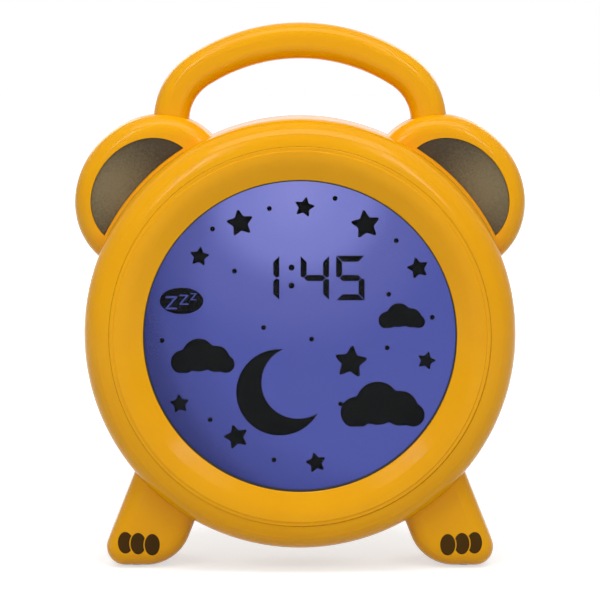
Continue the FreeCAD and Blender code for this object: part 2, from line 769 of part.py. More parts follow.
# Keys, key board and switches
def key(x, z):
    cap = disc(KEY_R, KEY_FLANGE_Y[1], KEY_TOP_Y, x, z)
    cap = round_edges_at(cap, 0.7, (KEY_TOP_Y,))
    flange = disc(KEY_FLANGE_R, *KEY_FLANGE_Y, x=x, z=z)
    stem = disc(KEY_STEM_R, KEY_STEM_END_Y, KEY_FLANGE_Y[0], x, z)
    return cap.fuse([flange, stem]).removeSplitter()


def key_board():
    ring = disc(50.0, *KEY_BOARD_Y).cut(disc(34.0, 0, 30))
    board = ring.common(block((-60, 60), (0, 30), (0.5, 60)))
    board = board.cut(disc(14.0, 0, 30, z=SPEAKER_Z))
    return board.cut([disc(SMALL_SCREW[0] + 0.1, 0, 30, x, z) for x, z in key_board_screw_places()])


def key_switches():
    size, height = SWITCH_SIZE
    switches = []
    for x, z in key_places():
        body = block_at((x, KEY_BOARD_Y[1] + height / 2, z), (size, height, size))
        bore = disc(KEY_STEM_R + 0.25, KEY_BOARD_Y[1] + 1.2, KEY_BOARD_Y[1] + height + 1, x, z)
        switches.append(body.cut(bore))
    return switches


# Speaker
def speaker_turned(corners):
    shape = turned(corners)
    shape.translate(V(0, 0, SPEAKER_Z))
    return shape


def speaker_basket():
    back_y = 16.6
    corners = [
        (3.2, back_y, 0), (9.2, back_y, 0), (15.4, SPEAKER_RIM_Y[0], 0), (SPEAKER_R, SPEAKER_RIM_Y[0], 0),
        (SPEAKER_R, SPEAKER_RIM_Y[1], 0), (14.8, SPEAKER_RIM_Y[1], 0), (14.8, SPEAKER_RIM_Y[0] + 0.6, 0),
        (8.6, back_y + 1.2, 0), (3.2, back_y + 1.2, 0),
    ]
    basket = speaker_turned(corners)
    for i in range(4):
        x, z = polar(12.0, 45 + 90 * i)
        basket = basket.cut(disc(2.4, back_y - 1, SPEAKER_RIM_Y[0] - 0.2, x, SPEAKER_Z + z))
    return basket


def speaker_cone():
    edge_y = 25.6
    neck_y = 20.4
    skin = 0.6
    corners = [
        (0, neck_y + 2.0, 0), (3.0, neck_y + 1.4, 0), (5.0, neck_y, 0),
        (12.6, edge_y - 0.9, 0), (14.3, edge_y, 0), (14.3, edge_y - skin, 0),
        (12.6, edge_y - 0.9 - skin, 0), (5.0, neck_y - 1.0, 0), (3.0, neck_y + 0.6, 0), (0, neck_y + 1.2, 0),
    ]
    return speaker_turned(corners)


def speaker_magnet():
    magnet = disc(9.0, 11.0, 16.5, z=SPEAKER_Z)
    return round_edges_at(magnet, 0.6, (11.0, 16.5))


# Power socket
def power_socket():
    half = SOCKET_HALF
    body = block((SOCKET_X - half, SOCKET_X + half), SOCKET_Y, (SOCKET_Z - 5.2, SOCKET_Z + 5.2))
    body = body.cut(disc(SOCKET_BORE_R, SOCKET_Y[1] - SOCKET_DEPTH, SOCKET_Y[1] + 1, SOCKET_X, SOCKET_Z))
    return body.cut(disc(SOCKET_PIN_R, SOCKET_Y[0] - 1, SOCKET_Y[1], SOCKET_X, SOCKET_Z))


def socket_pin():
    pin = disc(SOCKET_PIN_R - 0.01, SOCKET_Y[0] - 0.8, SOCKET_Y[1] - 1.2, SOCKET_X, SOCKET_Z)
    return round_edges_at(pin, 0.5, (SOCKET_Y[1] - 1.2,))


# Battery compartment
def cell_heights():
    return [BOX_MIDDLE_Z + step * CELL_PITCH for step in (-1, 0, 1)]


def battery_box():
    box = block((-BOX_X, BOX_X), BOX_Y, BOX_Z)
    inside = block(
        (-BOX_X + BOX_WALL, BOX_X - BOX_WALL),
        (BOX_Y[0] + BOX_WALL, BOX_Y[1] + 1),
        (BOX_Z[0] + BOX_WALL, BOX_Z[1] - BOX_WALL))
    box = box.cut(inside)
    nut = block((-4.5, 4.5), (19.5, BOX_Y[1]), (BOX_Z[0] + 0.5, BOX_Z[0] + 7.0))
    axis_starts = [V(-BOX_X, CELL_Y, z) for z in cell_heights()]
    cell_rooms = [Part.makeCylinder(CELL_R + 0.2, 2 * BOX_X, start, V(1, 0, 0)) for start in axis_starts]
    box = box.fuse(nut.cut(cell_rooms))
    return box.cut(disc(1.75, 19, 30, 0, DOOR_SCREW_Z)).removeSplitter()


def battery_cell(index):
    z = cell_heights()[index]
    sign = 1 if index % 2 == 0 else -1
    start = V(-sign * CELL_LENGTH / 2, CELL_Y, z)
    can = Part.makeCylinder(CELL_R, CELL_LENGTH, start, V(sign, 0, 0))
    can = can.makeFillet(0.5, can.Edges)
    nub = Part.makeCylinder(2.7, 1.2, V(sign * CELL_LENGTH / 2, CELL_Y, z), V(sign, 0, 0))
    return can.fuse(nub).removeSplitter()


def battery_contacts():
    face_x = BOX_X - BOX_WALL - 0.05
    thick = 0.4
    plates = []
    for z in cell_heights():
        for sign in (-1, 1):
            plates.append(block_at((sign * (face_x - thick / 2), CELL_Y, z), (thick, 11, 11)))
    return plates


def battery_springs():
    """Spring behind each cell's flat end and a pressed stud behind its nub."""
    wire_r = 0.35
    plate_x = BOX_X - BOX_WALL - 0.5
    flat_end = CELL_LENGTH / 2
    turns = 3.5
    room = plate_x - flat_end - 2 * wire_r - 0.1
    springs = []
    for index, z in enumerate(cell_heights()):
        sign = -1 if index % 2 == 0 else 1
        helix = Part.Wire(Part.makeHelix(room / turns, room, 3.4).Edges)
        ring = Part.Wire(Part.makeCircle(wire_r, V(3.4, 0, 0), V(0, 1, 0)))
        spring = helix.makePipeShell([ring], True, True)
        spring.rotate(V(0, 0, 0), V(0, 1, 0), 90 * sign)
        spring.translate(V(sign * (flat_end + wire_r + 0.05), CELL_Y, z))
        springs.append(spring)
        stud_start = V(-sign * (flat_end + 1.25), CELL_Y, z)
        springs.append(Part.makeCylinder(2.2, plate_x - flat_end - 1.3, stud_start, V(-sign, 0, 0)))
    return springs


def battery_door():
    half = (DOOR_Y[1] - DOOR_Y[0]) / 2
    door = block((-DOOR_X, DOOR_X), DOOR_Y, (DOOR_BOTTOM_Z, DOOR_PIVOT[1]))
    lower_edges = [e for e in door.Edges if e.BoundBox.YLength > 1 and e.BoundBox.ZMax < DOOR_PIVOT[1] - 5]
    door = door.makeFillet(2.0, lower_edges)
    edge = Part.makeCylinder(half, 2 * DOOR_X, V(-DOOR_X, *DOOR_PIVOT), V(1, 0, 0))
    reach = DOOR_X + DOOR_PIN_LENGTH
    pins = Part.makeCylinder(DOOR_PIN_R, 2 * reach, V(-reach, *DOOR_PIVOT), V(1, 0, 0))
    door = door.fuse([edge, pins])
    for x in (-16.0, -8.0, 8.0, 16.0):
        start = (x - 2.6, DOOR_SCREW_Z)
        end = (x + 2.6, DOOR_SCREW_Z)
        door = door.cut(stroke(start, end, 1.2, (DOOR_Y[1] - 0.5, REAR_Y)))
    door = door.cut(disc(SMALL_SCREW[1] + 0.35, DOOR_Y[1] - 1.3, REAR_Y, 0, DOOR_SCREW_Z))
    return door.cut(disc(SMALL_SCREW[0] + 0.1, 20, REAR_Y, 0, DOOR_SCREW_Z)).removeSplitter()


def door_screw():
    head_y = DOOR_Y[1] - 1.3
    return screw(SMALL_SCREW, head_y, DOOR_Y[0] - 2.4, 0, DOOR_SCREW_Z)


# Fasteners and leads
def case_screws():
    return [screw(CASE_SCREW, WELL_FLOOR_Y, -14, x, z) for x, z in case_post_places()]


def tray_screws():
    return [screw(SMALL_SCREW, -10, -18, x, z) for x, z in tray_boss_places()]


def board_screws():
    return [screw(SMALL_SCREW, MAIN_BOARD_Y[1], -3, x, z) for x, z in board_post_places()]


def key_board_screws():
    screws = []
    for x, z in key_board_screw_places():
        one = screw(SMALL_SCREW, 0, -7, 0, 0)
        one.rotate(V(0, 0, 0), V(0, 0, 1), 180)
        one.translate(V(x, KEY_BOARD_Y[0], z))
        screws.append(one)
    return screws


def speaker_wires():
    y_end = MAIN_BOARD_Y[1]
    return [tube([(x, 13.5, 17.9), (x, 13.5, 13.0), (x, y_end, 13.0)], 0.6, 3.0) for x in (-3.0, 3.0)]


def battery_wires():
    y_end = MAIN_BOARD_Y[1]
    return [tube([(-BOX_X, 14, z), (-36, 14, z), (-36, y_end, z)], 0.6, 3.0) for z in (-4.0, -1.0)]


def socket_wires():
    y_end = MAIN_BOARD_Y[1]
    y_start = SOCKET_Y[0]
    wires = []
    for x in (SOCKET_X - 3.5, SOCKET_X - 2.0):
        points = [(x, y_start, SOCKET_Z + 3.4), (x, 9.6, SOCKET_Z + 3.4), (x - 3.5, 6.0, SOCKET_Z + 3.4)]
        wires.append(tube(points + [(x - 3.5, y_end, SOCKET_Z + 3.4)], 0.6, 1.6))
    return wires


def save(name, *shapes):
    """Write one node, raised so that the grips stand at Z = 0."""
    solids = []
    for shape in shapes:
        solids += shape.Solids
    whole = solids[0] if len(solids) == 1 else Part.makeCompound(solids)
    whole.translate(V(0, 0, LIFT))
    whole.exportStep(os.path.join("parts", name + ".step"))
    print(name, len(solids), round(whole.Volume), whole.isValid())


def save_pair(name, shape):
    save("right_" + name, shape)
    save("left_" + name, mirrored(shape))


def main():
    os.makedirs("parts", exist_ok=True)
    shell = whole_shell()
    save("front_shell", front_shell(shell))
    save("rear_shell", rear_shell(shell))
    save("bezel", bezel())
    save("handle", handle())
    save_pair("ear_pad", ear_pad())
    save_pair("toe_pads", Part.makeCompound(toe_forms(0, 0.94)))
    save_pair("foot_grip", foot_grip(0))
    save("lens", disc(LENS_R, *LENS_Y))
    save("lcd_front_glass", display_plate(FRONT_GLASS_Y))
    save("lcd_digits", *lcd_digits())
    save("lcd_picture", *lcd_picture())
    save("lcd_sleep_icon", sleep_icon())
    save("lcd_rear_glass", display_plate(REAR_GLASS_Y))
    save("diffuser", display_plate(DIFFUSER_Y))
    save("backlight_tray", backlight_tray())
    save("led_board", disc(50.0, *LED_BOARD_Y))
    save("leds", *leds())
    save("main_board", main_board())
    save("processor_chip", block_at((0, MAIN_BOARD_Y[1] + 0.8, -8), (14, 1.6, 14)))
    save("board_parts", *board_parts())
    save("lcd_ribbon", lcd_ribbon())
    save("speaker_basket", speaker_basket())
    save("speaker_cone", speaker_cone())
    save("speaker_magnet", speaker_magnet())
    save("speaker_wires", *speaker_wires())
    save("key_board", key_board())
    save("key_switches", *key_switches())
    names = ("plus_key", "minus_key", "volume_key", "alarm_key", "sleep_key", "light_key")
    for name, place in zip(names, key_places()):
        save(name, key(*place))
    save("power_socket", power_socket())
    save("socket_pin", socket_pin())
    save("socket_wires", *socket_wires())
    save("battery_box", battery_box())
    save("battery_contacts", *battery_contacts())
    save("battery_springs", *battery_springs())
    for index in range(3):
        save("battery_%d" % (index + 1), battery_cell(index))
    save("battery_wires", *battery_wires())
    save("battery_door", battery_door())
    save("door_screw", door_screw())
    save("case_screws", *case_screws())
    save("tray_screws", *tray_screws())
    save("board_screws", *board_screws())
    save("key_board_screws", *key_board_screws())


main()
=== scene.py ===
import json
import math

import bmesh
import bpy
from mathutils import Matrix, Vector


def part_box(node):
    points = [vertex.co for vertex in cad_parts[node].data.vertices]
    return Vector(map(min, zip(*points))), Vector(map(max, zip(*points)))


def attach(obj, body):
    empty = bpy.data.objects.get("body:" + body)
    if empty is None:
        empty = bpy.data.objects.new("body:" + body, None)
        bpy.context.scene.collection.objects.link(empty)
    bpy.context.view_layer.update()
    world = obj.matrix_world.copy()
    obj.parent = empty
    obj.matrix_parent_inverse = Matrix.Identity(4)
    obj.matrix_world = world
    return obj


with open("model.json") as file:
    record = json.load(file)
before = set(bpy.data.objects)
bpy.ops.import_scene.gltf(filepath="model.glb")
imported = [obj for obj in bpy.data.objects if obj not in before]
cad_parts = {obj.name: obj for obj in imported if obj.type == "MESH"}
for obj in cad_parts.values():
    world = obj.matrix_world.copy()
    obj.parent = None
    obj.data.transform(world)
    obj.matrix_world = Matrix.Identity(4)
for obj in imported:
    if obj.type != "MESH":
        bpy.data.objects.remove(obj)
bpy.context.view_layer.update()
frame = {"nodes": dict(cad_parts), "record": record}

MM = 0.001
LIFT = (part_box("lens")[0].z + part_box("lens")[1].z) / 2
FACE_MIDDLE = Vector((0.0, 0.0, LIFT))

# The photograph's view: straight on, a little from above, through a long lens
CAMERA_ELEVATION = 6.0
CAMERA_DISTANCE = 1.1
VIEW_WIDTH = 208.9 * MM
AIM_ABOVE_MIDDLE = 10.5 * MM
AIM_TO_FRONT = 5 * MM
SENSOR = 36.0

# Floor: matt colour, and its own glow near the object, rising to white between two distances
FLOOR_REACH = 4.0
FLOOR_DROP = 0.2 * MM
FLOOR_COLOUR = (0.585, 0.615, 0.64, 1)
FLOOR_GLOW = 0.60
FLOOR_FADE = (0.10, 0.45)

# Strength of the room's light from the front and from the rear
ROOM_LIGHT = (0.35, 0.24)
WHITE = (1, 1, 1, 1)

# Colours as the eye sees them, from 0 to 255
YELLOW = (239, 168, 1)
YELLOW_DEEP = (234, 162, 0)
# Pad brown: the paler colour is a painted highlight, the deeper one the pad's own colour
BROWN_HIGHLIGHT = (114, 101, 71)
BROWN_DEEP = (57, 44, 20)
TOE = (70, 46, 3)
# Display glow runs from violet to a pale painted highlight at the top middle
LIT_VIOLET = (78, 86, 164)
LIT_BETWEEN = ((122, 126, 202), (92, 97, 172))
LIT_HIGHLIGHT = (136, 139, 212)
INK = (12, 14, 13)

# Lit display: the centre of its painted highlight, of its painted shade at the left and of the painted
# shadow at its border, and how far from each point its colours run
DISPLAY_Y = -18 * MM
DISPLAY_HIGHLIGHT_SPOT = (-1 * MM, DISPLAY_Y, LIFT + 50 * MM)
DISPLAY_HIGHLIGHT_REACH = (0.0, 60 * MM)
SHADE_POINT = (30 * MM, DISPLAY_Y, LIFT + 15 * MM)
SHADE_REACH = (60 * MM, 86 * MM)
RIM_SHADOW_POINT = (0.0, DISPLAY_Y, LIFT - 0.5 * MM)
RIM_SHADOW_REACH = (53.2 * MM, 54.1 * MM)

# Ear pads: a painted highlight makes the outer half paler, round this point on each side
PAD_HIGHLIGHT_POINT = (66 * MM, 10 * MM, LIFT + 51 * MM)
PAD_HIGHLIGHT_REACH = 24 * MM

# Small pieces that the scene adds
SMOOTH_ANGLE = 32
ICON_THICKNESS = 0.12 * MM
CLOTH_RADIUS = 14.6 * MM
CLOTH_THICKNESS = 0.14 * MM
CLOTH_MIDDLE = Vector((0, 26.57 * MM, LIFT + 27 * MM))
CLOTH_STEPS = 48
# Dark ring at the window's edge: painted shade for the shadow of the bezel's lip
SHADE_RING_OUTER_R = 53.66 * MM
SHADE_RING_INNER_R = SHADE_RING_OUTER_R - 0.34 * MM
SHADE_RING_BEHIND_BEZEL = 3.3 * MM
SHADE_RING_TO_WINDOW = 0.05 * MM
SHADE_RING_STEPS = 160


def linear(colour):
    """Scene colour from an 0 to 255 display colour."""
    parts = []
    for value in colour:
        c = value / 255
        parts.append(c / 12.92 if c <= 0.04045 else ((c + 0.055) / 1.055) ** 2.4)
    return (*parts, 1.0)


# Camera, floor and light
def make_camera():
    data = bpy.data.cameras.new("camera")
    data.sensor_width = SENSOR
    data.lens = SENSOR * CAMERA_DISTANCE / VIEW_WIDTH
    data.clip_start = 0.05
    data.clip_end = 20
    camera = bpy.data.objects.new("camera", data)
    bpy.context.collection.objects.link(camera)
    tilt = math.radians(CAMERA_ELEVATION)
    back = Vector((0, -math.cos(tilt), math.sin(tilt)))
    aim = FACE_MIDDLE + Vector((0, -AIM_TO_FRONT, AIM_ABOVE_MIDDLE))
    camera.location = aim + back * CAMERA_DISTANCE
    camera.rotation_euler = (-back).to_track_quat("-Z", "Y").to_euler()
    bpy.context.scene.camera = camera


def area_light(name, place, size, power, mirrored=True):
    data = bpy.data.lights.new(name, "AREA")
    data.shape = "RECTANGLE"
    data.size = size[0]
    data.size_y = size[1]
    data.energy = power
    lamp = bpy.data.objects.new(name, data)
    bpy.context.collection.objects.link(lamp)
    lamp.location = place
    lamp.rotation_euler = (FACE_MIDDLE - Vector(place)).to_track_quat("-Z", "Y").to_euler()
    lamp.visible_glossy = mirrored


def make_lights():
    """Softboxes and narrow strips make the highlights; the fill only lifts the shade."""
    for side in (-1, 1):
        area_light("softbox", (side * 0.50, -0.95, 0.85), (0.30, 0.50), 1.2)
        area_light("strip", (side * 0.46, -0.80, 0.62), (0.05, 0.45), 0.95)
        area_light("rear_softbox", (side * 0.60, 1.10, 0.75), (0.60, 0.60), 3.4)
    area_light("top_softbox", (0.0, -0.32, 0.90), (0.9, 0.4), 4.4)
    area_light("front_fill", (0.0, -1.6, 0.25), (1.4, 0.7), 2.1, mirrored=False)


def most_of(nodes, links, first, second):
    larger = nodes.new("ShaderNodeMath")
    larger.operation = "MAXIMUM"
    links.new(first, larger.inputs[0])
    links.new(second, larger.inputs[1])
    return larger.outputs[0]


def seen_directly(nodes, links):
    """One where the camera looks straight at the surface or sees it in a mirror or through glass."""
    path = nodes.new("ShaderNodeLightPath")
    first = most_of(nodes, links, path.outputs["Is Camera Ray"], path.outputs["Is Glossy Ray"])
    return most_of(nodes, links, first, path.outputs["Is Transmission Ray"])


def light_by_side(nodes, links):
    """Strength of the room's light: strongest from the front, weakest from the rear."""
    direction = nodes.new("ShaderNodeTexCoord")
    parts = nodes.new("ShaderNodeSeparateXYZ")
    links.new(direction.outputs["Generated"], parts.inputs[0])
    fade = nodes.new("ShaderNodeMapRange")
    fade.interpolation_type = "SMOOTHSTEP"
    fade.inputs["From Min"].default_value = -0.8
    fade.inputs["From Max"].default_value = 0.2
    fade.inputs["To Min"].default_value = ROOM_LIGHT[0]
    fade.inputs["To Max"].default_value = ROOM_LIGHT[1]
    links.new(parts.outputs["Y"], fade.inputs["Value"])
    return fade.outputs["Result"]


def make_world():
    world = bpy.data.worlds.new("studio")
    world.use_nodes = True
    nodes = world.node_tree.nodes
    links = world.node_tree.links
    nodes.clear()
    light = nodes.new("ShaderNodeBackground")
    light.inputs["Color"].default_value = WHITE
    links.new(light_by_side(nodes, links), light.inputs["Strength"])
    white = nodes.new("ShaderNodeBackground")
    white.inputs["Color"].default_value = WHITE
    white.inputs["Strength"].default_value = 1.0
    mix = nodes.new("ShaderNodeMixShader")
    links.new(seen_directly(nodes, links), mix.inputs["Fac"])
    links.new(light.outputs[0], mix.inputs[1])
    links.new(white.outputs[0], mix.inputs[2])
    out = nodes.new("ShaderNodeOutputWorld")
    links.new(mix.outputs[0], out.inputs["Surface"])
    bpy.context.scene.world = world


def make_floor():
    """Pale floor that keeps the shadow and turns white away from the object."""
    mesh = bpy.data.meshes.new("floor")
    reach = FLOOR_REACH
    corners = [(-reach, -reach, 0), (reach, -reach, 0), (reach, reach, 0), (-reach, reach, 0)]
    mesh.from_pydata(corners, [], [(0, 1, 2, 3)])
    floor = bpy.data.objects.new("floor", mesh)
    bpy.context.collection.objects.link(floor)
    floor.location.z = -FLOOR_DROP
    material = bpy.data.materials.new("floor_white")
    material.use_nodes = True
    nodes = material.node_tree.nodes
    links = material.node_tree.links
    nodes.clear()
    matt = nodes.new("ShaderNodeBsdfDiffuse")
    matt.inputs["Color"].default_value = FLOOR_COLOUR
    place = nodes.new("ShaderNodeTexCoord")
    away = nodes.new("ShaderNodeVectorMath")
    away.operation = "LENGTH"
    links.new(place.outputs["Object"], away.inputs[0])
    rise = nodes.new("ShaderNodeMapRange")
    rise.inputs["From Min"].default_value = FLOOR_FADE[0]
    rise.inputs["From Max"].default_value = FLOOR_FADE[1]
    rise.inputs["To Min"].default_value = FLOOR_GLOW
    rise.inputs["To Max"].default_value = 1.0
    links.new(away.outputs["Value"], rise.inputs["Value"])
    strength = nodes.new("ShaderNodeMath")
    strength.operation = "MULTIPLY"
    links.new(seen_directly(nodes, links), strength.inputs[0])
    links.new(rise.outputs["Result"], strength.inputs[1])
    glow = nodes.new("ShaderNodeEmission")
    glow.inputs["Color"].default_value = WHITE
    links.new(strength.outputs[0], glow.inputs["Strength"])
    add = nodes.new("ShaderNodeAddShader")
    out = nodes.new("ShaderNodeOutputMaterial")
    links.new(matt.outputs[0], add.inputs[0])
    links.new(glow.outputs[0], add.inputs[1])
    links.new(add.outputs[0], out.inputs["Surface"])
    mesh.materials.append(material)


# Materials
def new_material(name):
    material = bpy.data.materials.new(name)
    material.use_nodes = True
    shader = material.node_tree.nodes["Principled BSDF"]
    return material, material.node_tree.nodes, material.node_tree.links, shader


def object_noise(nodes, links, scale, detail):
    place = nodes.new("ShaderNodeTexCoord")
    noise = nodes.new("ShaderNodeTexNoise")
    noise.inputs["Scale"].default_value = scale
    noise.inputs["Detail"].default_value = detail
    links.new(place.outputs["Object"], noise.inputs["Vector"])
    return noise.outputs["Fac"]


def blend_colours(nodes, links, factor, low, high):
    ramp = nodes.new("ShaderNodeValToRGB")
    ramp.color_ramp.elements[0].position = 0.3
    ramp.color_ramp.elements[0].color = low
    ramp.color_ramp.elements[1].position = 0.7
    ramp.color_ramp.elements[1].color = high
    links.new(factor, ramp.inputs["Fac"])
    return ramp.outputs["Color"]


def spread_value(nodes, links, factor, low, high):
    spread = nodes.new("ShaderNodeMapRange")
    spread.inputs["To Min"].default_value = low
    spread.inputs["To Max"].default_value = high
    links.new(factor, spread.inputs["Value"])
    return spread.outputs["Result"]


def add_bump(nodes, links, shader, height, strength, distance):
    bump = nodes.new("ShaderNodeBump")
    bump.inputs["Strength"].default_value = strength
    bump.inputs["Distance"].default_value = distance
    links.new(height, bump.inputs["Height"])
    links.new(bump.outputs["Normal"], shader.inputs["Normal"])


def moulded(name, colour, deep, roughness, grain, grain_depth, gloss=0.5, soft=0.0):
    """Moulded plastic or rubber: slight colour drift, uneven sheen and a fine surface grain."""
    material, nodes, links, shader = new_material(name)
    drift = object_noise(nodes, links, 28.0, 3.0)
    drifting = blend_colours(nodes, links, drift, linear(deep), linear(colour))
    links.new(drifting, shader.inputs["Base Color"])
    sheen = object_noise(nodes, links, 160.0, 3.0)
    uneven = spread_value(nodes, links, sheen, roughness - 0.05, roughness + 0.05)
    links.new(uneven, shader.inputs["Roughness"])
    shader.inputs["Specular IOR Level"].default_value = gloss
    shader.inputs["Subsurface Weight"].default_value = soft
    shader.inputs["Subsurface Radius"].default_value = (0.004, 0.0015, 0.0005)
    shader.inputs["Subsurface Scale"].default_value = 1.0
    if grain_depth > 0:
        add_bump(nodes, links, shader, object_noise(nodes, links, grain, 2.0), 0.35, grain_depth)
    return material


def grained_pad(name, highlight_colour, deep):
    """Grained plastic of the ear pads, with a painted highlight that makes the outer half of each paler."""
    material, nodes, links, shader = new_material(name)
    place = nodes.new("ShaderNodeTexCoord")
    fold = nodes.new("ShaderNodeVectorMath")
    fold.operation = "ABSOLUTE"
    links.new(place.outputs["Object"], fold.inputs[0])
    # Painted highlight: paler near the point on each pad's outer half
    away = nodes.new("ShaderNodeVectorMath")
    away.operation = "DISTANCE"
    away.inputs[1].default_value = PAD_HIGHLIGHT_POINT
    links.new(fold.outputs["Vector"], away.inputs[0])
    inward = nodes.new("ShaderNodeMapRange")
    inward.interpolation_type = "SMOOTHSTEP"
    inward.inputs["From Max"].default_value = PAD_HIGHLIGHT_REACH
    links.new(away.outputs["Value"], inward.inputs["Value"])
    grain = object_noise(nodes, links, 1500.0, 3.0)
    mottle = nodes.new("ShaderNodeMath")
    mottle.operation = "MULTIPLY_ADD"
    mottle.inputs[1].default_value = 0.9
    mottle.inputs[2].default_value = -0.45
    links.new(grain, mottle.inputs[0])
    factor = nodes.new("ShaderNodeMath")
    factor.operation = "ADD"
    links.new(inward.outputs["Result"], factor.inputs[0])
    links.new(mottle.outputs[0], factor.inputs[1])
    colours = nodes.new("ShaderNodeValToRGB")
    colours.color_ramp.elements[0].color = linear(highlight_colour)
    colours.color_ramp.elements[1].color = linear(deep)
    links.new(factor.outputs[0], colours.inputs["Fac"])
    links.new(colours.outputs["Color"], shader.inputs["Base Color"])
    shader.inputs["Roughness"].default_value = 0.42
    shader.inputs["Specular IOR Level"].default_value = 0.35
    add_bump(nodes, links, shader, grain, 0.6, 0.0003)
    return material


def woven(name, colour, threads):
    """Plain weave: threads to the metre, over and under by two crossed waves."""
    material, nodes, links, shader = new_material(name)
    place = nodes.new("ShaderNodeTexCoord")
    waves = []
    for direction in ("X", "Z"):
        wave = nodes.new("ShaderNodeTexWave")
        wave.bands_direction = direction
        wave.inputs["Scale"].default_value = threads / 20
        links.new(place.outputs["Object"], wave.inputs["Vector"])
        waves.append(wave.outputs["Fac"])
    weave = nodes.new("ShaderNodeMath")
    weave.operation = "MULTIPLY"
    links.new(waves[0], weave.inputs[0])
    links.new(waves[1], weave.inputs[1])
    low = tuple(c * 0.25 for c in linear(colour)[:3]) + (1.0,)
    threads_and_gaps = blend_colours(nodes, links, weave.outputs[0], low, linear(colour))
    links.new(threads_and_gaps, shader.inputs["Base Color"])
    shader.inputs["Roughness"].default_value = 0.9
    shader.inputs["Specular IOR Level"].default_value = 0.1
    add_bump(nodes, links, shader, weave.outputs[0], 0.6, 0.0001)
    return material


def metal(name, colour, roughness):
    """Plated metal with a fine grain in its colour and sheen."""
    material, nodes, links, shader = new_material(name)
    grain = object_noise(nodes, links, 900.0, 3.0)
    low = tuple(c * 0.86 for c in linear(colour)[:3]) + (1.0,)
    mottled = blend_colours(nodes, links, grain, low, linear(colour))
    links.new(mottled, shader.inputs["Base Color"])
    uneven = spread_value(nodes, links, grain, roughness - 0.06, roughness + 0.08)
    links.new(uneven, shader.inputs["Roughness"])
    shader.inputs["Metallic"].default_value = 1.0
    add_bump(nodes, links, shader, grain, 0.2, 0.00002)
    return material


def clear_sheet(name, see_through, roughness, gloss_share):
    """Clear sheet: light goes straight through, under a share of mirror gloss that grows at the edges."""
    material, nodes, links, shader = new_material(name)
    nodes.remove(shader)
    through = nodes.new("ShaderNodeBsdfTransparent")
    through.inputs["Color"].default_value = (*see_through, 1)
    gloss = nodes.new("ShaderNodeBsdfGlossy")
    gloss.inputs["Roughness"].default_value = roughness
    edge = nodes.new("ShaderNodeFresnel")
    edge.inputs["IOR"].default_value = 1.45
    share = nodes.new("ShaderNodeMath")
    share.operation = "MULTIPLY"
    share.inputs[1].default_value = gloss_share
    links.new(edge.outputs[0], share.inputs[0])
    mix = nodes.new("ShaderNodeMixShader")
    out = nodes["Material Output"]
    links.new(share.outputs[0], mix.inputs["Fac"])
    links.new(through.outputs[0], mix.inputs[1])
    links.new(gloss.outputs[0], mix.inputs[2])
    links.new(mix.outputs[0], out.inputs["Surface"])
    return material


def lit_display(name):
    """The display's lit ground: palest at the top middle under a painted highlight, with painted shade at
    the left and a painted shadow of the bezel's lip at its border.
    """
    material, nodes, links, shader = new_material(name)
    place = nodes.new("ShaderNodeTexCoord")

    def distance_from(point):
        away = nodes.new("ShaderNodeVectorMath")
        away.operation = "DISTANCE"
        links.new(place.outputs["Object"], away.inputs[0])
        away.inputs[1].default_value = point
        return away.outputs["Value"]

    def ramp(point, reach, stops):
        spread = nodes.new("ShaderNodeMapRange")
        spread.inputs["From Min"].default_value = reach[0]
        spread.inputs["From Max"].default_value = reach[1]
        links.new(distance_from(point), spread.inputs["Value"])
        colours = nodes.new("ShaderNodeValToRGB")
        colours.color_ramp.interpolation = "EASE"
        elements = colours.color_ramp.elements
        while len(elements) < len(stops):
            elements.new(0.5)
        for element, (position, colour) in zip(elements, stops):
            element.position = position
            element.color = colour
        links.new(spread.outputs["Result"], colours.inputs["Fac"])
        return colours.outputs["Color"]

    def product(first, second):
        multiply = nodes.new("ShaderNodeMix")
        multiply.data_type = "RGBA"
        multiply.blend_type = "MULTIPLY"
        multiply.inputs["Factor"].default_value = 1.0
        links.new(first, multiply.inputs["A"])
        links.new(second, multiply.inputs["B"])
        return multiply.outputs["Result"]

    glow_and_highlight_stops = [
        (0.0, linear(LIT_HIGHLIGHT)),
        (0.35, linear(LIT_BETWEEN[0])),
        (0.62, linear(LIT_BETWEEN[1])),
        (1.0, linear(LIT_VIOLET)),
    ]
    shade_stops = [(0.0, WHITE), (0.5, (0.80, 0.80, 0.82, 1)), (1.0, (0.42, 0.42, 0.46, 1))]
    rim_shadow_stops = [(0.0, WHITE), (1.0, (0.10, 0.10, 0.12, 1))]
    # Painted highlight at the top middle, painted shade at the left and painted shadow of the bezel's lip
    # at the border
    ground = ramp(DISPLAY_HIGHLIGHT_SPOT, DISPLAY_HIGHLIGHT_REACH, glow_and_highlight_stops)
    left_shade = ramp(SHADE_POINT, SHADE_REACH, shade_stops)
    border = ramp(RIM_SHADOW_POINT, RIM_SHADOW_REACH, rim_shadow_stops)
    links.new(product(product(ground, left_shade), border), shader.inputs["Emission Color"])
    shader.inputs["Emission Strength"].default_value = 1.04
    shader.inputs["Base Color"].default_value = (0.004, 0.004, 0.008, 1)
    shader.inputs["Roughness"].default_value = 0.5
    shader.inputs["Specular IOR Level"].default_value = 0.05
    return material


